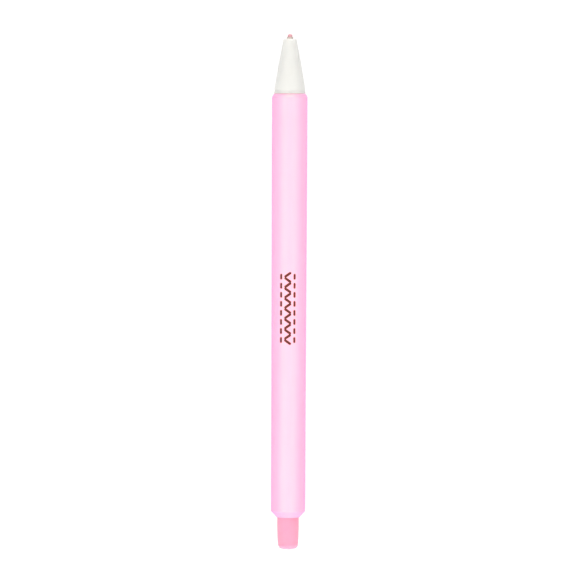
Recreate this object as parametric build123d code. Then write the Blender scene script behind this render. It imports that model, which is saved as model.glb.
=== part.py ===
from build123d import *
import math
import os

# Click-feed fabric marking pencil, lying on its side along X with its tip at +X.
# Millimetres. Z = 0 is the surface that it lies on, and X = 0 is half of its length.
# Every piece is turned about the pencil's own axis, which is raised by AXIS_Z at the end.

# Whole pencil
LENGTH = 140.0
TIP_X = LENGTH / 2
END_X = -LENGTH / 2

# Barrel, outside
GRIP_R = 4.805
REAR_R = 4.66
GRIP_BACK_X = 38.0
REAR_FRONT_X = -36.0
SHOULDER_X = 52.55
BARREL_FRONT_X = 53.8
BARREL_FRONT_R = 4.23
BARREL_BACK_X = -61.2
BACK_CHAMFER = 1.7
BACK_LAND = 0.06
AXIS_Z = GRIP_R

# Barrel, inside
BUTTON_BORE_R = 2.98
BUTTON_BORE_DEPTH = 7.2
MIDDLE_BORE_R = 2.75
SEAT_X = 47.2
SEAT_POCKET_R = 3.40
SEAT_POCKET_DEPTH = 1.3

# Screw thread that holds the nose cone
THREAD_PITCH = 1.0
THREAD_BORE_R = 3.72
THREAD_CORE_R = 3.30
RIDGE_GAP = 0.10
RIDGE_ROOT_WIDTH = 0.62
RIDGE_CREST_WIDTH = 0.26
RIDGE_SINK = 0.10
MALE_START_X = 49.2
MALE_TURNS = 3
FEMALE_START_X = MALE_START_X - THREAD_PITCH / 2
FEMALE_TURNS = 4

# Nose cone
FACE_GAP = 0.02
NOSE_FRONT_X = 68.65
NOSE_FRONT_R = 1.76
NOSE_EDGE = 0.15
NOSE_MIDDLE = (61.7, 3.056)
NOSE_BASE = (55.2, 4.13)
COLLAR_R = 4.20
COLLAR_LENGTH = 0.6
NOSE_BORE_R = 2.65
HEAD_ROOM_R = 2.33
HEAD_ROOM_X = 63.3

# Metal guide and rubber bush in the nose
GUIDE_R = 0.90
GUIDE_BORE_R = 0.70
GUIDE_FRONT_X = 69.15
GUIDE_BACK_X = 66.6
BUSH_R = 1.45
BUSH_BACK_X = 64.2
BUSH_FRONT_X = 66.4

# Leads
LEAD_R = 0.65
LEAD_LENGTH = 60.0
GRIP_CLEARANCE = 0.01
SPARE_LEADS = 4
SPARE_RING_R = 1.05
SPARE_FRONT_X = 2.0

# Chuck: a drilled body with three sprung jaws whose heads wedge in a ring
CHUCK_R = 1.35
CHUCK_BORE_R = 0.75
SHANK_R = 1.20
SHANK_LENGTH = 4.0
JAW_ROOT_X = 50.0
JAW_ROOT_GAP = 0.05
JAW_FRONT_X = 60.8
JAW_COUNT = 3
JAW_SLIT = 0.30
HEAD_CONE_X = 56.6
HEAD_CONE_END_X = 59.4
HEAD_ANGLE = 12.0
HEAD_CHAMFER = 0.40
RING_R = 2.55
RING_BACK_X = 57.0 + FACE_GAP
RING_FRONT_X = 59.2
RING_SEAT_X = 57.6
RING_CLEARANCE = 0.02
RING_TRAVEL = 0.9
RING_STOP_X = RING_FRONT_X + RING_TRAVEL + FACE_GAP

# Clutch sleeve, clamped between the barrel's seat and the nose cone's spigot
SLEEVE_BACK_X = 37.5
SLEEVE_FRONT_X = 57.0
SLEEVE_R = 2.50
SLEEVE_REAR_R = 2.60
SLEEVE_BORE_R = 2.10
SLEEVE_LIP_X = 55.2
SLEEVE_LIP_R = 1.55
FLANGE_R = 3.35
FLANGE_THICKNESS = 1.2

# Return spring
WIRE_R = 0.20
COIL_R = 1.78
COILS = 9.5

# Connector and lead tube
CONNECTOR_FRONT_X = 42.0
CONNECTOR_R = 2.05
TUBE_FRONT_X = 34.0
TUBE_BACK_X = -67.5
TUBE_R = 2.45
TUBE_BORE_R = 2.0
STOP_FLANGE = 0.8
PLUG_LENGTH = 4.0
PLUG_CLEARANCE = 0.02
FUNNEL_LENGTH = 2.0
FUNNEL_RIM = 0.2

# Push button
BUTTON_R = 2.92
BUTTON_FRONT_X = -57.0
BUTTON_STRAIGHT_X = -63.5
BUTTON_TAPER_END = (-68.6, 2.72)
BUTTON_CORNER = (-69.38, 2.44)
BUTTON_DOME_RIM = (-69.70, 1.90)
BUTTON_BORE_CLEARANCE = 0.01
BUTTON_ROOF_X = -68.2


def turned(outline):
    """Solid turned about the X axis from a closed outline of (x, radius)."""
    return revolve(make_face(outline), Axis.X, 360)


def turned_points(*points):
    """Solid turned from straight edges only."""
    return turned(Polyline(*points, close=True))


def bored(radius, start_x, end_x):
    """Cylinder about the X axis, used to drill or to build a plain stretch."""
    return turned_points((start_x, 0), (start_x, radius), (end_x, radius), (end_x, 0))


def thread_ridge(root_r, crest_r, start_x, turns):
    """Right-hand ridge that stands on root_r and reaches crest_r, inwards or outwards."""
    helix = Helix(
        pitch=THREAD_PITCH,
        height=THREAD_PITCH * turns,
        radius=root_r,
        center=(start_x, 0, 0),
        direction=(1, 0, 0),
    )
    start = helix @ 0
    outwards = Vector(0, start.Y, start.Z).normalized()
    plane = Plane(origin=start, x_dir=(1, 0, 0), z_dir=Vector(1, 0, 0).cross(outwards))
    rise = crest_r - root_r
    sunk = -math.copysign(RIDGE_SINK, rise)
    section = Polyline(
        (-RIDGE_ROOT_WIDTH / 2, sunk),
        (RIDGE_ROOT_WIDTH / 2, sunk),
        (RIDGE_CREST_WIDTH / 2, rise),
        (-RIDGE_CREST_WIDTH / 2, rise),
        close=True,
    )
    return sweep(plane * make_face(section), path=helix, is_frenet=True)


def make_barrel():
    back_r = BUTTON_BORE_R + BACK_LAND
    chamfer_x = BARREL_BACK_X + BACK_CHAMFER
    shoulder_mid = (53.3, 4.62)
    outline = Curve() + [
        TangentArc((SHOULDER_X, GRIP_R), shoulder_mid, tangent=(1, 0)),
        Polyline(
            shoulder_mid,
            (BARREL_FRONT_X, BARREL_FRONT_R),
            (BARREL_FRONT_X, 0),
            (BARREL_BACK_X, 0),
            (BARREL_BACK_X, back_r),
            (chamfer_x, REAR_R),
            (REAR_FRONT_X, REAR_R),
            (GRIP_BACK_X, GRIP_R),
            (SHOULDER_X, GRIP_R),
        ),
    ]
    barrel = turned(outline)
    barrel -= bored(THREAD_BORE_R, SEAT_X + SEAT_POCKET_DEPTH, BARREL_FRONT_X)
    barrel -= bored(SEAT_POCKET_R, SEAT_X, SEAT_X + SEAT_POCKET_DEPTH)
    barrel -= bored(MIDDLE_BORE_R, BARREL_BACK_X, SEAT_X)
    barrel -= bored(BUTTON_BORE_R, BARREL_BACK_X, BARREL_BACK_X + BUTTON_BORE_DEPTH)
    crest_r = THREAD_CORE_R + RIDGE_GAP
    return barrel + thread_ridge(THREAD_BORE_R, crest_r, FEMALE_START_X, FEMALE_TURNS)


def make_nose_cone():
    spigot_x = SEAT_X + FLANGE_THICKNESS + FACE_GAP
    collar_x = BARREL_FRONT_X + FACE_GAP
    collar_end_x = collar_x + COLLAR_LENGTH
    face_corner = (NOSE_FRONT_X, NOSE_FRONT_R - NOSE_EDGE)
    cone_start = (NOSE_FRONT_X - NOSE_EDGE, NOSE_FRONT_R)
    outline = Curve() + [
        ThreePointArc(cone_start, NOSE_MIDDLE, NOSE_BASE),
        Polyline(
            NOSE_BASE,
            (collar_end_x, NOSE_BASE[1]),
            (collar_end_x, COLLAR_R),
            (collar_x, COLLAR_R),
            (collar_x, THREAD_CORE_R),
            (spigot_x, THREAD_CORE_R),
            (spigot_x, 0),
            (NOSE_FRONT_X, 0),
            face_corner,
        ),
        RadiusArc(cone_start, face_corner, NOSE_EDGE),
    ]
    nose = turned(outline)
    nose -= bored(NOSE_BORE_R, spigot_x, RING_STOP_X)
    nose -= turned_points(
        (RING_STOP_X, 0),
        (RING_STOP_X, HEAD_ROOM_R),
        (HEAD_ROOM_X, HEAD_ROOM_R),
        (BUSH_BACK_X, BUSH_R),
        (BUSH_FRONT_X, BUSH_R),
        (BUSH_FRONT_X, 0),
    )
    nose -= bored(GUIDE_R, BUSH_FRONT_X, NOSE_FRONT_X)
    crest_r = THREAD_BORE_R - RIDGE_GAP
    return nose + thread_ridge(THREAD_CORE_R, crest_r, MALE_START_X, MALE_TURNS)


def make_tip_sleeve():
    edge = (GUIDE_R - GUIDE_BORE_R) / 2
    return turned_points(
        (GUIDE_BACK_X, GUIDE_BORE_R),
        (GUIDE_BACK_X, GUIDE_R),
        (GUIDE_FRONT_X - edge, GUIDE_R),
        (GUIDE_FRONT_X, GUIDE_R - edge),
        (GUIDE_FRONT_X, GUIDE_BORE_R),
    )


def make_lead_retainer():
    bore = LEAD_R + GRIP_CLEARANCE
    mouth = 0.5
    return turned_points(
        (BUSH_BACK_X, bore + mouth),
        (BUSH_BACK_X, BUSH_R),
        (BUSH_FRONT_X, BUSH_R),
        (BUSH_FRONT_X, bore),
        (BUSH_BACK_X + mouth, bore),
    )


def make_lead(tip_x, tip_round):
    """Lead of the standard length with a rounded front end."""
    back_x = tip_x - LEAD_LENGTH
    shoulder = (tip_x - tip_round, LEAD_R)
    outline = Curve() + [
        Polyline(shoulder, (back_x, LEAD_R), (back_x, 0), (tip_x, 0)),
        TangentArc((tip_x, 0), shoulder, tangent=(0, 1)),
    ]
    return turned(outline)


def make_spare_lead(index):
    angle = math.radians(360 * index / SPARE_LEADS + 45)
    offset = Pos(0, SPARE_RING_R * math.cos(angle), SPARE_RING_R * math.sin(angle))
    return offset * bored(LEAD_R, SPARE_FRONT_X - LEAD_LENGTH, SPARE_FRONT_X)


def head_radius(x):
    """Radius of the jaws' wedge at station x."""
    return CHUCK_R + (x - HEAD_CONE_X) * math.tan(math.radians(HEAD_ANGLE))


def make_chuck():
    chuck = bored(CHUCK_R, CONNECTOR_FRONT_X, JAW_ROOT_X - JAW_ROOT_GAP)
    chuck += bored(SHANK_R, CONNECTOR_FRONT_X - SHANK_LENGTH, CONNECTOR_FRONT_X)
    return chuck - bored(CHUCK_BORE_R, CONNECTOR_FRONT_X - SHANK_LENGTH, JAW_ROOT_X)


def make_chuck_jaws():
    """The three jaws, in order of angle from +Y."""
    head_r = head_radius(HEAD_CONE_END_X)
    bore = LEAD_R + GRIP_CLEARANCE
    jaws = turned_points(
        (JAW_ROOT_X, bore),
        (JAW_ROOT_X, CHUCK_R),
        (HEAD_CONE_X, CHUCK_R),
        (HEAD_CONE_END_X, head_r),
        (JAW_FRONT_X - HEAD_CHAMFER, head_r),
        (JAW_FRONT_X, head_r - HEAD_CHAMFER),
        (JAW_FRONT_X, bore),
    )
    length = JAW_FRONT_X - JAW_ROOT_X
    slit = Pos(JAW_ROOT_X + length / 2, RING_R / 2, 0) * Box(2 * length, RING_R, JAW_SLIT)
    for index in range(JAW_COUNT):
        jaws -= Rot(360 * index / JAW_COUNT, 0, 0) * slit
    return jaws.solids().sort_by(lambda jaw: math.atan2(jaw.center().Z, jaw.center().Y) % math.tau)


def make_clutch_ring():
    seat_r = head_radius(RING_SEAT_X) + RING_CLEARANCE
    mouth_r = head_radius(RING_FRONT_X) + RING_CLEARANCE
    edge = 0.15
    return turned_points(
        (RING_BACK_X, seat_r),
        (RING_BACK_X, RING_R - edge),
        (RING_BACK_X + edge, RING_R),
        (RING_FRONT_X - edge, RING_R),
        (RING_FRONT_X, RING_R - edge),
        (RING_FRONT_X, mouth_r),
        (RING_SEAT_X, seat_r),
    )


def make_clutch_sleeve():
    flange_x = SEAT_X + FLANGE_THICKNESS
    return turned_points(
        (SLEEVE_BACK_X, SLEEVE_BORE_R),
        (SLEEVE_BACK_X, SLEEVE_REAR_R),
        (SEAT_X, SLEEVE_REAR_R),
        (SEAT_X, FLANGE_R),
        (flange_x, FLANGE_R),
        (flange_x, SLEEVE_R),
        (SLEEVE_FRONT_X, SLEEVE_R),
        (SLEEVE_FRONT_X, SLEEVE_LIP_R),
        (SLEEVE_LIP_X, SLEEVE_LIP_R),
        (SLEEVE_LIP_X, SLEEVE_BORE_R),
    )


def make_return_spring():
    """Round wire between the connector's face and the sleeve's lip."""
    start_x = CONNECTOR_FRONT_X + WIRE_R + FACE_GAP
    height = SLEEVE_LIP_X - FACE_GAP - WIRE_R - start_x
    helix = Helix(
        pitch=height / COILS,
        height=height,
        radius=COIL_R,
        center=(start_x, 0, 0),
        direction=(1, 0, 0),
    )
    section = Plane(origin=helix @ 0, z_dir=helix % 0) * Circle(WIRE_R)
    return sweep(section, path=helix, is_frenet=True)


def make_chuck_connector():
    plug_x = TUBE_FRONT_X - PLUG_LENGTH
    plug_r = TUBE_BORE_R - PLUG_CLEARANCE
    return turned_points(
        (plug_x, plug_r - FUNNEL_RIM),
        (plug_x, plug_r),
        (TUBE_FRONT_X, plug_r),
        (TUBE_FRONT_X, TUBE_R),
        (TUBE_FRONT_X + STOP_FLANGE, TUBE_R),
        (TUBE_FRONT_X + STOP_FLANGE, CONNECTOR_R),
        (CONNECTOR_FRONT_X, CONNECTOR_R),
        (CONNECTOR_FRONT_X, SHANK_R),
        (CONNECTOR_FRONT_X - SHANK_LENGTH, SHANK_R),
        (CONNECTOR_FRONT_X - SHANK_LENGTH, CHUCK_BORE_R),
        (plug_x + FUNNEL_LENGTH, CHUCK_BORE_R),
    )


def make_lead_tube():
    return bored(TUBE_R, TUBE_BACK_X, TUBE_FRONT_X) - bored(TUBE_BORE_R, TUBE_BACK_X, TUBE_FRONT_X)


def make_push_button():
    bore = TUBE_R + BUTTON_BORE_CLEARANCE
    outline = Curve() + [
        Polyline(
            (END_X, 0),
            (BUTTON_FRONT_X, 0),
            (BUTTON_FRONT_X, BUTTON_R),
            (BUTTON_STRAIGHT_X, BUTTON_R),
        ),
        TangentArc((BUTTON_STRAIGHT_X, BUTTON_R), BUTTON_TAPER_END, tangent=(-1, 0)),
        ThreePointArc(BUTTON_TAPER_END, BUTTON_CORNER, BUTTON_DOME_RIM),
        TangentArc((END_X, 0), BUTTON_DOME_RIM, tangent=(0, 1)),
    ]
    return turned(outline) - bored(bore, BUTTON_ROOF_X, BUTTON_FRONT_X)


def make_all():
    """Every node's name with its solid, about the pencil's own axis."""
    pieces = {
        "barrel": make_barrel(),
        "nose_cone": make_nose_cone(),
        "tip_sleeve": make_tip_sleeve(),
        "lead_retainer": make_lead_retainer(),
        "clutch_sleeve": make_clutch_sleeve(),
        "clutch_ring": make_clutch_ring(),
        "chuck": make_chuck(),
        "return_spring": make_return_spring(),
        "chuck_connector": make_chuck_connector(),
        "lead_tube": make_lead_tube(),
        "push_button": make_push_button(),
        "lead": make_lead(TIP_X, 0.45),
    }
    for index, jaw in enumerate(make_chuck_jaws()):
        pieces[f"chuck_jaw_{index + 1}"] = jaw
    for index in range(SPARE_LEADS):
        pieces[f"spare_lead_{index + 1}"] = make_spare_lead(index)
    return pieces


os.makedirs("parts", exist_ok=True)
for name, solid in make_all().items():
    export_step(Pos(0, 0, AXIS_Z) * solid, f"parts/{name}.step")
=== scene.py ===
import math

import bmesh
import bpy
from mathutils import Matrix, Vector


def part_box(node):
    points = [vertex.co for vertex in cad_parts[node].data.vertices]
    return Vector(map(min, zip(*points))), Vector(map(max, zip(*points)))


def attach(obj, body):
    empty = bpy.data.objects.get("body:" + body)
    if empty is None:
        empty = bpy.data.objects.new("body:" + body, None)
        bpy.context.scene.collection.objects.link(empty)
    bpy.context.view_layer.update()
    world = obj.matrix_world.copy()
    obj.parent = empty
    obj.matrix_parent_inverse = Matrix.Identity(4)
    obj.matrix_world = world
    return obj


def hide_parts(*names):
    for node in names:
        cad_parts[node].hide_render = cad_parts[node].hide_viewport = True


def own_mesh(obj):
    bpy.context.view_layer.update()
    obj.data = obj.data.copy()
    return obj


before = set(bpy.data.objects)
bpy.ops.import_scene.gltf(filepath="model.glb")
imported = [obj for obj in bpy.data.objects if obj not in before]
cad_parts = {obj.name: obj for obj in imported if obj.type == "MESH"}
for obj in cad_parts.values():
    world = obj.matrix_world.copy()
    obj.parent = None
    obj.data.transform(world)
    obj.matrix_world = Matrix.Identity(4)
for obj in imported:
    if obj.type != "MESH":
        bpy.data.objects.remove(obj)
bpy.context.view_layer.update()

# Fabric marking pencil, lying along X with its tip at +X. Stations and radii are in
# millimetres from the middle of its length and from its own axis, as in the CAD model.

MM = 0.001
barrel_low, barrel_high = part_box("barrel")
AXIS = Vector((0, 0, (barrel_low.z + barrel_high.z) / 2))
ALONG = Vector((1, 0, 0))

THREAD_PITCH = 1.0
BARREL_BACK, BARREL_FRONT = 4.66, 4.805     # radius of the barrel's two plain ends
DRAFT_BACK, DRAFT_FRONT = -36, 38           # stations between which it is drafted
LEAD_RADIUS = 0.65


# ---------------------------------------------------------------- outlines

def place(x, radius, angle, centre=(0, 0)):
    """Point in metres at a station, a radius and an angle from +Y towards +Z."""
    y = centre[0] + radius * math.cos(angle)
    z = centre[1] + radius * math.sin(angle)
    return AXIS + Vector((x, y, z)) * MM


def arc_about(centre, start, sweep, step=7.5):
    """Points of an arc of that signed sweep about centre, from start, both ends included."""
    arm = Vector(start) - Vector(centre)
    count = max(2, math.ceil(abs(math.degrees(sweep)) / step))
    rotations = [Matrix.Rotation(sweep * k / count, 2) for k in range(count + 1)]
    return [tuple(Vector(centre) + rotation @ arm) for rotation in rotations]


def tangent_arc(start, end, direction, step=7.5):
    """Points of the arc that leaves start along direction and reaches end."""
    start, end, along = Vector(start), Vector(end), Vector(direction).normalized()
    chord = end - start
    side = Vector((-along.y, along.x))
    radius = chord.length_squared / (2 * chord.dot(side))
    half = math.atan2(chord.dot(side), chord.dot(along))
    return arc_about(start + side * radius, start, 2 * half, step)


def arc_through(a, b, c, step=1.5):
    """Points of the arc from a through b to c."""
    a, b, c = Vector(a), Vector(b), Vector(c)
    m, n = b - a, c - a
    cross = m.x * n.y - m.y * n.x
    lift = Vector((n.y * m.length_squared - m.y * n.length_squared,
                   m.x * n.length_squared - n.x * m.length_squared)) / (2 * cross)
    u, v = -lift, n - lift
    sweep = math.atan2(u.x * v.y - u.y * v.x, u.dot(v))
    return arc_about(a + lift, a, sweep, step)


def softened(corners, closed=True):
    """Fine outline from corners (x, r) or (x, r, fillet). A fillet is an arc with a point
    just outside each end of it, which keeps the shading of the runs flat."""
    longest_share, guard, guard_share, fillet_step = 0.4, 1.6, 0.5, 15
    count, outline = len(corners), []
    for i, corner in enumerate(corners):
        here = Vector(corner[:2])
        if len(corner) < 3 or (not closed and i in (0, count - 1)):
            outline.append(tuple(here))
            continue
        before = Vector(corners[i - 1][:2]) - here
        after = Vector(corners[(i + 1) % count][:2]) - here
        u, v = before.normalized(), after.normalized()
        half = u.angle(v) / 2
        reach = min(corner[2] / math.tan(half), longest_share * before.length,
                    longest_share * after.length)
        radius = reach * math.tan(half)
        centre = here + (u + v).normalized() * (radius / math.sin(half))
        cross = u.x * v.y - u.y * v.x
        sweep = (math.pi - 2 * half) * (1 if cross < 0 else -1)
        outline.append(tuple(here + u * min(guard * reach, guard_share * before.length)))
        outline += arc_about(centre, here + u * reach, sweep, fillet_step)
        outline.append(tuple(here + v * min(guard * reach, guard_share * after.length)))
    return outline


# ---------------------------------------------------------------- meshes

def sweep_rings(bm, rings, closed_outline, closed_turn):
    """Quads, or triangles at a pole, between neighbouring rings of vertices."""
    pairs = list(zip(rings, rings[1:]))
    if closed_outline:
        pairs.append((rings[-1], rings[0]))
    for a, b in pairs:
        count = max(len(a), len(b))
        for j in range(count if closed_turn else count - 1):
            k = (j + 1) % count
            if len(a) == 1:
                bm.faces.new((a[0], b[k], b[j]))
            elif len(b) == 1:
                bm.faces.new((a[j], a[k], b[0]))
            else:
                bm.faces.new((a[j], a[k], b[k], b[j]))


def turn(bm, outline, closed=True, steps=96, centre=(0, 0)):
    """Adds the outline turned a full turn. An open outline starts and ends on the axis."""
    rings, on_axis = [], 1e-6
    for x, radius in outline:
        angles = [0] if radius < on_axis else [math.tau * j / steps for j in range(steps)]
        rings.append([bm.verts.new(place(x, max(radius, 0), a, centre)) for a in angles])
    sweep_rings(bm, rings, closed, True)


def turn_sector(bm, outline, middle, width, slit, steps=24):
    """Adds a sector of the turned outline, between two flat faces beside slits."""
    rings = []
    for x, radius in outline:
        spread = width / 2 - math.asin(slit / 2 / radius)
        angles = [middle - spread + 2 * spread * j / steps for j in range(steps + 1)]
        rings.append([bm.verts.new(place(x, radius, a)) for a in angles])
    sweep_rings(bm, rings, True, False)
    bm.faces.new([ring[0] for ring in rings])
    bm.faces.new([ring[-1] for ring in reversed(rings)])


def add_ridge(bm, root, crest, start, turns, steps=72):
    """Adds a right-hand screw ridge that runs out at both ends. Its foot is sunk into the
    wall behind it, so that no gap shows."""
    foot, flank, flat, depth = 0.31, 0.30, 0.14, 0.10
    run_out, lowest = 0.16, 0.04                # turns at each end, share of the full rise
    rise = crest - root
    sunk = -math.copysign(depth, rise)
    count, sections = int(turns * steps), []
    for k in range(count + 1):
        edge = min(k, count - k) / (run_out * steps)
        top = rise * (lowest + (1 - lowest) * min(1, edge))
        t = math.tau * k / steps
        corners = ((-foot, sunk), (foot, sunk), (flank, 0.0), (flat, top), (0.0, top),
                   (-flat, top), (-flank, 0.0))
        station = start + THREAD_PITCH * t / math.tau
        sections.append([bm.verts.new(place(station + dx, root + dr, math.pi / 2 + t))
                         for dx, dr in corners])
    for a, b in zip(sections, sections[1:]):
        for j in range(len(a)):
            k = (j + 1) % len(a)
            bm.faces.new((a[j], a[k], b[k], b[j]))
    bm.faces.new(sections[0][::-1])
    bm.faces.new(sections[-1])


def finished(bm, name, body, material, node=None):
    """Makes the mesh a piece that rides on a body, in place of a CAD node if one is named."""
    sharp = math.radians(33)
    bmesh.ops.remove_doubles(bm, verts=bm.verts, dist=1e-9)
    bmesh.ops.recalc_face_normals(bm, faces=bm.faces)
    for face in bm.faces:
        face.smooth = True
    for edge in bm.edges:
        edge.smooth = edge.calc_face_angle(0) < sharp
    mesh = bpy.data.meshes.new(name)
    bm.to_mesh(mesh)
    bm.free()
    mesh.materials.append(material)
    piece = bpy.data.objects.new(name, mesh)
    bpy.context.scene.collection.objects.link(piece)
    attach(piece, body)
    if node:
        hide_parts(node)
    return piece


def turned_piece(node, body, slot, corners, closed=True, steps=96, centre=(0, 0)):
    """A whole piece turned from one outline, in place of the CAD node of that name."""
    bm = bmesh.new()
    turn(bm, softened(corners, closed), closed, steps, centre)
    return finished(bm, node + "_piece", body, MATERIALS[slot], node)


# ---------------------------------------------------------------- materials

def tint(*rgb):
    """Linear colour from 0 to 255 display values."""
    def linear(share):
        return share / 12.92 if share <= 0.04045 else ((share + 0.055) / 1.055) ** 2.4

    return [linear(c / 255) for c in rgb] + [1.0]


def mixed(first, second, share):
    """Plain mix of two colours, with that share of the second."""
    return [(1 - share) * a + share * b for a, b in zip(first, second)]


class Finish:
    """A Principled material whose colour, roughness and height come from noise in the
    piece's own space. Grain sizes are in millimetres along X, Y and Z."""

    def __init__(self, name):
        self.material = bpy.data.materials.new(name)
        self.material.use_nodes = True
        self.tree = self.material.node_tree
        self.shader = self.tree.nodes["Principled BSDF"]
        self.coordinates = self.tree.nodes.new("ShaderNodeTexCoord").outputs["Object"]

    def link(self, a, b):
        self.tree.links.new(a, b)

    def grain(self, size, detail=3.0, contrast=1.0):
        """Noise from 0 to 1, about 0.5, whose grains have that size. Contrast narrows the
        band of the noise that the 0 to 1 is taken from."""
        mapping = self.tree.nodes.new("ShaderNodeMapping")
        mapping.inputs["Scale"].default_value = [1 / (MM * s) for s in size]
        noise = self.tree.nodes.new("ShaderNodeTexNoise")
        noise.inputs["Scale"].default_value = 1.0
        noise.inputs["Detail"].default_value = detail
        self.link(self.coordinates, mapping.inputs["Vector"])
        self.link(mapping.outputs["Vector"], noise.inputs["Vector"])
        reach = 0.25 / contrast
        return self.spread(noise.outputs["Fac"], 0.5 - reach, 0.5 + reach, 0, 1)

    def spread(self, value, low, high, to_low, to_high):
        """The value with low to high stretched or squeezed to to_low to to_high."""
        node = self.tree.nodes.new("ShaderNodeMapRange")
        for name, number in (("From Min", low), ("From Max", high),
                             ("To Min", to_low), ("To Max", to_high)):
            node.inputs[name].default_value = number
        self.link(value, node.inputs["Value"])
        return node.outputs["Result"]

    def blend(self, factor, first, second):
        """Mix of two colours, each a plain colour or another mix."""
        node = self.tree.nodes.new("ShaderNodeMix")
        node.data_type = "RGBA"
        # The node has sockets for every data type: these are the factor and the colours.
        factor_in, first_in, second_in = (node.inputs[k] for k in (0, 6, 7))
        self.link(factor, factor_in)
        for socket, colour in ((first_in, first), (second_in, second)):
            if isinstance(colour, (list, tuple)):
                socket.default_value = colour
            else:
                self.link(colour, socket)
        return node.outputs[2]

    def colour(self, value):
        self.link(value, self.shader.inputs["Base Color"])

    def rough(self, value, low, high):
        """Roughness from low to high, as the value goes from 0 to 1."""
        self.link(self.spread(value, 0, 1, low, high), self.shader.inputs["Roughness"])

    def relief(self, *layers):
        """Bump from layers of (height from 0 to 1, depth in mm), laid over each other."""
        normal = None
        for height, depth in layers:
            bump = self.tree.nodes.new("ShaderNodeBump")
            bump.inputs["Distance"].default_value = depth * MM
            self.link(height, bump.inputs["Height"])
            if normal:
                self.link(normal, bump.inputs["Normal"])
            normal = bump.outputs["Normal"]
        self.link(normal, self.shader.inputs["Normal"])

    def set(self, **values):
        """Values that are the same all over the surface, on the shader's own sockets."""
        names = {"metallic": "Metallic", "anisotropy": "Anisotropic", "ior": "IOR",
                 "specular": "Specular IOR Level", "specular_tint": "Specular Tint",
                 "coat": "Coat Weight", "coat_rough": "Coat Roughness",
                 "coat_ior": "Coat IOR", "coat_tint": "Coat Tint",
                 "sheen": "Sheen Weight", "sheen_rough": "Sheen Roughness",
                 "sheen_tint": "Sheen Tint",
                 "scatter": "Subsurface Weight", "scatter_radius": "Subsurface Radius",
                 "scatter_scale": "Subsurface Scale",
                 "glow": "Emission Strength", "glow_colour": "Emission Color"}
        for key, value in values.items():
            self.shader.inputs[names[key]].default_value = value


def moulded(name, main, deep, rough, draw=(9, 0.5, 0.5), texture=0.10, depth=0.0008):
    """Moulded plastic: faint flow marks along the draw, cloudy pigment, fine tool texture."""
    finish = Finish(name)
    flow = finish.grain(draw, detail=4, contrast=1.4)
    cloud = finish.grain((14, 5, 5), detail=2, contrast=1.2)
    fine = finish.grain((texture, texture, texture))
    clouded = finish.blend(cloud, main, mixed(main, deep, 0.5))
    finish.colour(finish.blend(finish.spread(flow, 0, 1, 0, 0.45), clouded, deep))
    finish.rough(finish.grain((0.6, 0.25, 0.25)), *rough)
    finish.relief((fine, depth), (flow, 0.4 * depth))
    return finish


def turned_metal(name, main, deep, rough, depth=0.0012):
    """Metal turned on a lathe: fine rings round the axis, with a few deeper ones."""
    finish = Finish(name)
    rings = finish.grain((0.035, 6, 6), detail=4, contrast=1.3)
    bands = finish.grain((0.4, 8, 8), contrast=1.3)
    stain = finish.grain((1.6, 1.2, 1.2), detail=4, contrast=1.2)
    streaked = finish.blend(rings, main, mixed(main, deep, 0.4))
    finish.colour(finish.blend(finish.spread(stain, 0, 1, 0, 0.5), streaked, deep))
    finish.rough(bands, *rough)
    finish.relief((rings, depth), (bands, 2 * depth))
    finish.set(metallic=1.0, anisotropy=0.5)
    return finish


def chalk(name, main, deep):
    """Pressed chalky lead: matt, with pits and pale specks."""
    finish = Finish(name)
    speck = finish.grain((0.09, 0.05, 0.05), detail=5, contrast=1.8)
    patch = finish.grain((0.9, 0.4, 0.4), detail=4, contrast=1.3)
    pale = [min(1, 1.12 * c + 0.03) for c in main[:3]] + [1.0]
    finish.colour(finish.blend(speck, finish.blend(patch, main, deep), pale))
    finish.rough(speck, 0.72, 0.92)
    finish.relief((speck, 0.006), (patch, 0.010))
    finish.set(specular=0.3)
    return finish


def rubber(name, main, deep):
    """Matt rubber with a faint bloom."""
    finish = Finish(name)
    fine = finish.grain((0.06, 0.06, 0.06), detail=4, contrast=1.5)
    bloom = finish.grain((0.7, 0.7, 0.7), contrast=1.4)
    finish.colour(finish.blend(bloom, main, deep))
    finish.rough(fine, 0.55, 0.8)
    finish.relief((fine, 0.004))
    return finish


def ink(name, main, deep):
    """Pad-printed ink: a thin film, a little uneven, over the plastic."""
    finish = Finish(name)
    patch = finish.grain((0.35, 0.3, 0.3), detail=4, contrast=1.4)
    fine = finish.grain((0.05, 0.05, 0.05), contrast=1.4)
    finish.colour(finish.blend(patch, main, deep))
    finish.rough(fine, 0.34, 0.5)
    finish.relief((fine, 0.0015))
    finish.set(specular=0.35)
    return finish


# The coat deepens the pink towards the edges, the sheen turns them lilac, and the yellow
# specular tint keeps blue out of the highlight, all as in the photograph.
barrel_plastic = moulded("barrel_plastic", tint(254, 174, 201), tint(253, 167, 197),
                         (0.44, 0.52))
barrel_plastic.set(specular=1.0, ior=1.8, specular_tint=(1.0, 1.0, 0.0, 1.0),
                   coat=1.0, coat_ior=1.2, coat_rough=0.5, coat_tint=(1.0, 0.79, 1.0, 1.0),
                   sheen=0.2, sheen_rough=0.5, sheen_tint=(1.0, 0.0, 1.0, 1.0),
                   scatter=0.18, scatter_radius=(1.0, 0.45, 0.6), scatter_scale=1.2 * MM)
nose_plastic = moulded("nose_plastic", tint(190, 190, 191), tint(187, 187, 188), (0.36, 0.46),
                       draw=(4, 0.4, 0.4))
nose_plastic.set(specular=0.12, scatter=1.0, scatter_radius=(1.0, 0.95, 0.9),
                 scatter_scale=1.5 * MM)
button_plastic = moulded("button_plastic", tint(246, 143, 168), tint(245, 137, 163),
                         (0.34, 0.44), draw=(5, 0.4, 0.4))
button_plastic.set(specular=0.1, scatter=1.0, scatter_radius=(1.0, 0.7, 0.75),
                   scatter_scale=1.8 * MM)
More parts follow.
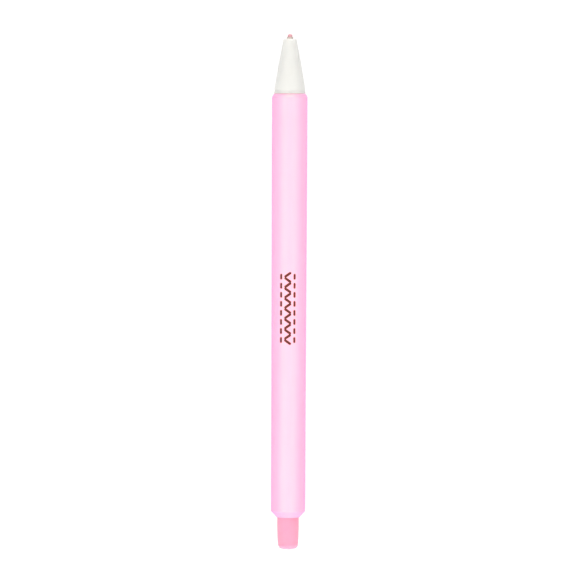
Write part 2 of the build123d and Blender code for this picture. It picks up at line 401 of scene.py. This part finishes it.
sleeve_plastic = moulded("sleeve_plastic", tint(226, 226, 218), tint(214, 214, 204),
                         (0.42, 0.55), texture=0.14)
connector_plastic = moulded("connector_plastic", tint(206, 208, 210), tint(193, 196, 199),
                            (0.4, 0.52), texture=0.14)
tube_plastic = moulded("tube_plastic", tint(232, 232, 226), tint(219, 220, 214), (0.26, 0.4),
                       draw=(25, 0.3, 0.3), texture=0.2)
tube_plastic.set(scatter=0.3, scatter_radius=(1.0, 1.0, 0.95), scatter_scale=1.0 * MM)

MATERIALS = {
    "barrel_plastic": barrel_plastic.material,
    "nose_plastic": nose_plastic.material,
    "button_plastic": button_plastic.material,
    "sleeve_plastic": sleeve_plastic.material,
    "connector_plastic": connector_plastic.material,
    "tube_plastic": tube_plastic.material,
    "guide_metal": turned_metal("guide_metal", tint(196, 184, 180), tint(172, 160, 156),
                                (0.34, 0.48)).material,
    "brass": turned_metal("brass", tint(214, 178, 104), tint(186, 146, 78),
                          (0.2, 0.36)).material,
    "spring_steel": turned_metal("spring_steel", tint(198, 199, 202), tint(160, 162, 167),
                                 (0.18, 0.34), depth=0.0006).material,
    "bush_rubber": rubber("bush_rubber", tint(62, 60, 60), tint(48, 46, 47)).material,
    "pink_lead": chalk("pink_lead", tint(187, 137, 147), tint(178, 127, 138)).material,
    "print_ink": ink("print_ink", tint(88, 38, 30), tint(76, 32, 25)).material,
}


# ---------------------------------------------------------------- outside pieces

def make_barrel():
    """Drafted tube with a round front shoulder, a back chamfer and a thread in its front."""
    shoulder = tangent_arc((52.55, BARREL_FRONT), (53.3, 4.62), (1, 0), 4)
    corners = [(-61.2, 3.04, 0.03), (-59.5, BARREL_BACK, 0.12), (DRAFT_BACK, BARREL_BACK),
               (DRAFT_FRONT, BARREL_FRONT), (52.4, BARREL_FRONT), *shoulder,
               (53.8, 4.23, 0.07), (53.8, 3.72, 0.05), (48.5, 3.72), (48.5, 3.40),
               (47.2, 3.40), (47.2, 2.75, 0.05), (-54.0, 2.75, 0.05), (-54.0, 2.98),
               (-61.2, 2.98, 0.02)]
    bm = bmesh.new()
    turn(bm, softened(corners), steps=144)
    add_ridge(bm, root=3.72, crest=3.40, start=48.7, turns=4)
    return finished(bm, "barrel_shell", "body", MATERIALS["barrel_plastic"], "barrel")


def barrel_radius(x):
    """The barrel's outside radius at a station between its chamfer and its shoulder."""
    share = min(1, max(0, (x - DRAFT_BACK) / (DRAFT_FRONT - DRAFT_BACK)))
    return BARREL_BACK + (BARREL_FRONT - BARREL_BACK) * share


def add_dash(bm, x, across, length, width, slant=0.0):
    """One stitch of the print: a thin patch with round ends that follows the barrel.
    It leans by slant, in radians, from the barrel's length."""
    columns, rows, layers = 18, 4, []
    film, sunk = 0.014, -0.03                   # faces above and under the plastic's surface
    blunt = 0.004                               # keeps the ends from closing to a point
    straight = length / 2 - width / 2
    lean = Matrix.Rotation(slant, 2)
    for lift in (film, sunk):
        grid = []
        for i in range(columns + 1):
            along = -length / 2 * math.cos(math.pi * i / columns)
            past = max(0, abs(along) - straight)
            half = math.sqrt(max(0, (width / 2) ** 2 - past ** 2)) + blunt
            line = []
            for j in range(rows + 1):
                dx, arc = lean @ Vector((along, half * (2 * j / rows - 1)))
                radius = barrel_radius(x + dx)
                angle = math.pi / 2 - (across + arc) / radius
                line.append(bm.verts.new(place(x + dx, radius + lift, angle)))
            grid.append(line)
        layers.append(grid)
    top, under = layers
    for i in range(columns):
        for j in range(rows):
            bm.faces.new((top[i][j], top[i + 1][j], top[i + 1][j + 1], top[i][j + 1]))
            bm.faces.new((under[i][j], under[i][j + 1], under[i + 1][j + 1], under[i + 1][j]))
        for j in (0, rows):
            bm.faces.new((top[i][j], top[i + 1][j], under[i + 1][j], under[i][j]))
    for i in (0, columns):
        for j in range(rows):
            bm.faces.new((top[i][j], top[i][j + 1], under[i][j + 1], under[i][j]))


def make_print():
    """A plain sewing ornament: a zigzag stitch between two rows of running stitch."""
    front, back, offset = 5.6, -14.0, 0.33
    slants, zigzag_width, slant_length, slant_width = 14, 2.0, 2.2, 0.68
    dashes, row_offset, dash_length, dash_width = 8, 1.86, 1.6, 0.62
    bm = bmesh.new()
    step = (front - back) / slants
    for k in range(slants):
        lean = math.atan2(zigzag_width, step) * (1 if k % 2 else -1)
        add_dash(bm, front - step * (k + 0.5), offset, slant_length, slant_width, lean)
    step = (front - back) / dashes
    for k in range(dashes):
        for side in (-1, 1):
            add_dash(bm, front - step * (k + 0.5), offset + side * row_offset, dash_length,
                     dash_width)
    return finished(bm, "barrel_stitch_print", "body", MATERIALS["print_ink"])


def make_nose():
    """Tapered cone with a fine groove at its collar, and a threaded spigot behind it."""
    belly = arc_through((68.50, 1.76), (61.7, 3.056), (55.2, 4.13), 0.6)
    groove = [(54.58, 4.13, 0.03), (54.54, 4.09), (54.42, 4.09), (54.42, 4.20, 0.03)]
    spigot = [(53.82, 4.20, 0.05), (53.82, 3.30), (48.42, 3.30, 0.1), (48.42, 2.65, 0.05)]
    bores = [(60.12, 2.65), (60.12, 2.33), (63.3, 2.33), (64.2, 1.45), (66.4, 1.45),
             (66.4, 0.90)]
    corners = [(68.65, 0.90, 0.04), (68.65, 1.76, 0.15), *belly[1:], *groove, *spigot, *bores]
    bm = bmesh.new()
    turn(bm, softened(corners), steps=128)
    add_ridge(bm, root=3.30, crest=3.62, start=49.2, turns=3)
    return finished(bm, "nose_cone_shell", "nose", MATERIALS["nose_plastic"], "nose_cone")


def make_button():
    """Drafted cap with a low dome and a rounded edge, hollow for the end of the lead tube."""
    dome = tangent_arc((-70, 0), (-69.7, 1.90), (0, 1), 2)
    corner = arc_through((-69.7, 1.90), (-69.38, 2.44), (-68.6, 2.72), 8)
    side = tangent_arc((-63.5, 2.92), (-68.6, 2.72), (-1, 0), 1)[::-1]
    corners = [*dome, *corner[1:], *side[1:], (-57, 2.92, 0.08), (-57, 2.46, 0.06),
               (-68.2, 2.46, 0.3), (-68.2, 0)]
    return turned_piece("push_button", "button", "button_plastic", corners, closed=False,
                        steps=112)


def make_guide():
    """Small metal tube at the very tip, pressed into the nose."""
    corners = [(66.6, 0.70), (69.15, 0.70, 0.03), (69.15, 0.80, 0.03), (69.05, 0.90, 0.04),
               (66.6, 0.90)]
    return turned_piece("tip_sleeve", "nose", "guide_metal", corners, steps=72)


def make_lead():
    """The lead in use, with a worn tip."""
    tip = tangent_arc((70, 0), (69.55, LEAD_RADIUS), (0, 1), 8)
    corners = [*tip, (69.4, LEAD_RADIUS), (10, LEAD_RADIUS, 0.05), (10, 0)]
    return turned_piece("lead", "writing_lead", "pink_lead", corners, closed=False, steps=48)


# ---------------------------------------------------------------- inside pieces

def make_spare_leads():
    """Four leads side by side in the tube."""
    from_axis = 1.05
    corners = [(2, 0), (2, LEAD_RADIUS, 0.06), (-58, LEAD_RADIUS, 0.06), (-58, 0)]
    for i in range(4):
        angle = math.radians(45 + 90 * i)
        centre = (from_axis * math.cos(angle), from_axis * math.sin(angle))
        turned_piece(f"spare_lead_{i + 1}", "plunger", "pink_lead", corners, closed=False,
                     steps=40, centre=centre)


def make_jaws():
    """Three jaws round the lead, with slits between them."""
    slit = 0.30
    corners = [(50, 0.66), (50, 1.35, 0.05), (56.6, 1.35, 0.4), (59.4, 1.945, 0.08),
               (60.4, 1.945, 0.06), (60.8, 1.545, 0.06), (60.8, 0.66, 0.04)]
    for i in range(3):
        bm = bmesh.new()
        middle = math.radians(60 + 120 * i)
        turn_sector(bm, softened(corners), middle, math.radians(120), slit)
        finished(bm, f"chuck_jaw_{i + 1}_piece", f"jaw_{i + 1}", MATERIALS["brass"],
                 f"chuck_jaw_{i + 1}")


def make_inner_turnings():
    """The bush, ring, chuck body, connector, lead tube and inner sleeve."""
    turned_piece("lead_retainer", "bush", "bush_rubber",
                 [(64.22, 1.16), (64.22, 1.43, 0.06), (66.38, 1.43, 0.06), (66.38, 0.66),
                  (64.7, 0.66, 0.08)], steps=64)
    turned_piece("clutch_ring", "ring", "brass",
                 [(57.02, 1.583), (57.02, 2.40, 0.03), (57.17, 2.55, 0.03),
                  (59.05, 2.55, 0.03), (59.2, 2.40, 0.03), (59.2, 1.923), (57.6, 1.583)],
                 steps=80)
    turned_piece("chuck", "plunger", "brass",
                 [(38, 0.75), (38, 1.20, 0.05), (42, 1.20), (42, 1.35, 0.04),
                  (49.95, 1.35, 0.05), (49.95, 0.75)], steps=64)
    turned_piece("chuck_connector", "plunger", "connector_plastic",
                 [(30, 1.78), (30, 1.98, 0.05), (34, 1.98), (34, 2.45, 0.06), (34.8, 2.45, 0.06),
                  (34.8, 2.05), (42, 2.05, 0.08), (42, 1.20), (38, 1.20), (38, 0.75),
                  (32, 0.75, 0.15)], steps=80)
    turned_piece("lead_tube", "plunger", "tube_plastic",
                 [(-67.5, 2.0, 0.08), (-67.5, 2.45, 0.1), (34, 2.45, 0.05), (34, 2.0)])
    turned_piece("clutch_sleeve", "body", "sleeve_plastic",
                 [(37.5, 2.10), (37.5, 2.60, 0.1), (47.2, 2.60), (47.2, 3.35, 0.08),
                  (48.4, 3.35, 0.08), (48.4, 2.50), (57, 2.50, 0.1), (57, 1.55, 0.06),
                  (55.2, 1.55, 0.05), (55.2, 2.10)], steps=80)


def make_spring():
    """Coil with closed ends, from its back seat to its front seat."""
    back, front, coils, per_coil = 42.22, 54.98, 9.5, 40
    wire, coil_radius, wire_steps = 0.20, 1.78, 12
    closed_rate, closed_coils, opening_coils = 0.34, 0.6, 0.7
    heights = [0.0]
    for k in range(int(coils * per_coil)):
        past = min(k / per_coil, coils - k / per_coil) - closed_coils
        opened = min(1, max(0, past / opening_coils))
        heights.append(heights[-1] + closed_rate + (1 - closed_rate) * opened)
    scale = (front - back) / heights[-1]
    bm = bmesh.new()
    rings = []
    for k, height in enumerate(heights):
        t = math.tau * k / per_coil
        outward = Vector((0, math.cos(t), math.sin(t)))
        middle = AXIS + (ALONG * (back + height * scale) + outward * coil_radius) * MM
        angles = [math.tau * j / wire_steps for j in range(wire_steps)]
        rings.append([bm.verts.new(middle + (outward * math.cos(a) + ALONG * math.sin(a))
                                   * wire * MM) for a in angles])
    sweep_rings(bm, rings, False, True)
    bm.faces.new(rings[0])
    bm.faces.new(rings[-1][::-1])
    spring = finished(bm, "return_spring_coil", "body", MATERIALS["spring_steel"],
                      "return_spring")
    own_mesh(spring)


make_barrel()
make_print()
make_nose()
make_button()
make_guide()
make_lead()
make_spare_leads()
make_jaws()
make_inner_turnings()
make_spring()


# ---------------------------------------------------------------- floor, light and camera

def make_floor():
    """A round sheet whose rim sweeps up, so that a low camera sees no edge of it."""
    steps = 96
    bm = bmesh.new()
    rings = []
    for radius, height in ((0.6, 0), (3.4, 0), (4.0, 0.08), (4.4, 0.32), (4.6, 0.9)):
        angles = [math.tau * k / steps for k in range(steps)]
        rings.append([bm.verts.new((radius * math.cos(a), radius * math.sin(a), height))
                      for a in angles])
    bm.faces.new(rings[0])
    for inner, outer in zip(rings, rings[1:]):
        for k in range(steps):
            bm.faces.new((inner[k - 1], outer[k - 1], outer[k], inner[k]))
    mesh = bpy.data.meshes.new("floor")
    bm.to_mesh(mesh)
    bm.free()
    floor = bpy.data.objects.new("floor", mesh)
    bpy.context.scene.collection.objects.link(floor)
    finish = Finish("floor_paper")
    paper = finish.grain((3, 3, 3), detail=2)
    finish.colour(finish.blend(paper, tint(149, 149, 149), tint(146, 146, 146)))
    finish.rough(paper, 0.7, 0.8)
    finish.set(specular=0.1, glow=0.69, glow_colour=(1, 1, 1, 1))
    mesh.materials.append(finish.material)


def softbox(name, spot, size, watts, colour):
    """Rectangular light at a spot, turned towards the pencil and unseen by the camera."""
    data = bpy.data.lights.new(name, "AREA")
    data.shape = "RECTANGLE"
    data.size, data.size_y = size
    data.energy = watts
    data.color = colour
    light = bpy.data.objects.new(name, data)
    light.location = spot
    towards = Vector((0, 0, 0)) - Vector(spot)
    light.rotation_euler = towards.to_track_quat("-Z", "Y").to_euler()
    light.visible_camera = False
    bpy.context.scene.collection.objects.link(light)


def make_light():
    """A long bank on each side of the pencil, a panel beyond each end, and even daylight."""
    warm, daylight = (1.0, 0.99, 0.91), 0.36
    bank, panel = (4.8, 1.30), (1.4, 1.4)
    softbox("left_bank", (0, 0.98, 1.43), bank, 37.5, warm)
    softbox("right_bank", (0, -0.98, 1.43), bank, 33, warm)
    softbox("rear_panel", (-2.3, 0, 1.7), panel, 66, warm)
    softbox("front_panel", (2.3, 0, 1.7), panel, 43, warm)
    world = bpy.data.worlds.new("studio")
    world.use_nodes = True
    sky = world.node_tree.nodes["Background"]
    sky.inputs["Color"].default_value = (1, 1, 1, 1)
    sky.inputs["Strength"].default_value = daylight
    bpy.context.scene.world = world


def make_camera():
    """Almost straight above the pencil, and a little towards its tip, so that the back rim
    shows as a curve and the front rim as a straight line."""
    distance, view_width = 1.27, 157.4 * MM
    lean, roll = math.radians(2.3), math.radians(0.243)
    aim = AXIS + Vector((0.20, -0.28, 0)) * MM
    data = bpy.data.cameras.new("camera")
    data.sensor_fit = "HORIZONTAL"
    data.sensor_width = 36.0
    data.lens = data.sensor_width * distance / view_width
    data.clip_start, data.clip_end = 0.01, 20
    camera = bpy.data.objects.new("camera", data)
    camera.location = aim + Vector((math.sin(lean), 0, math.cos(lean))) * distance
    turned_by = Matrix.Rotation(lean, 3, "Y") @ Matrix.Rotation(roll - math.pi / 2, 3, "Z")
    camera.rotation_euler = turned_by.to_euler()
    bpy.context.scene.collection.objects.link(camera)
    bpy.context.scene.camera = camera
    bpy.context.scene.view_settings.view_transform = "Standard"


make_floor()
make_light()
make_camera()
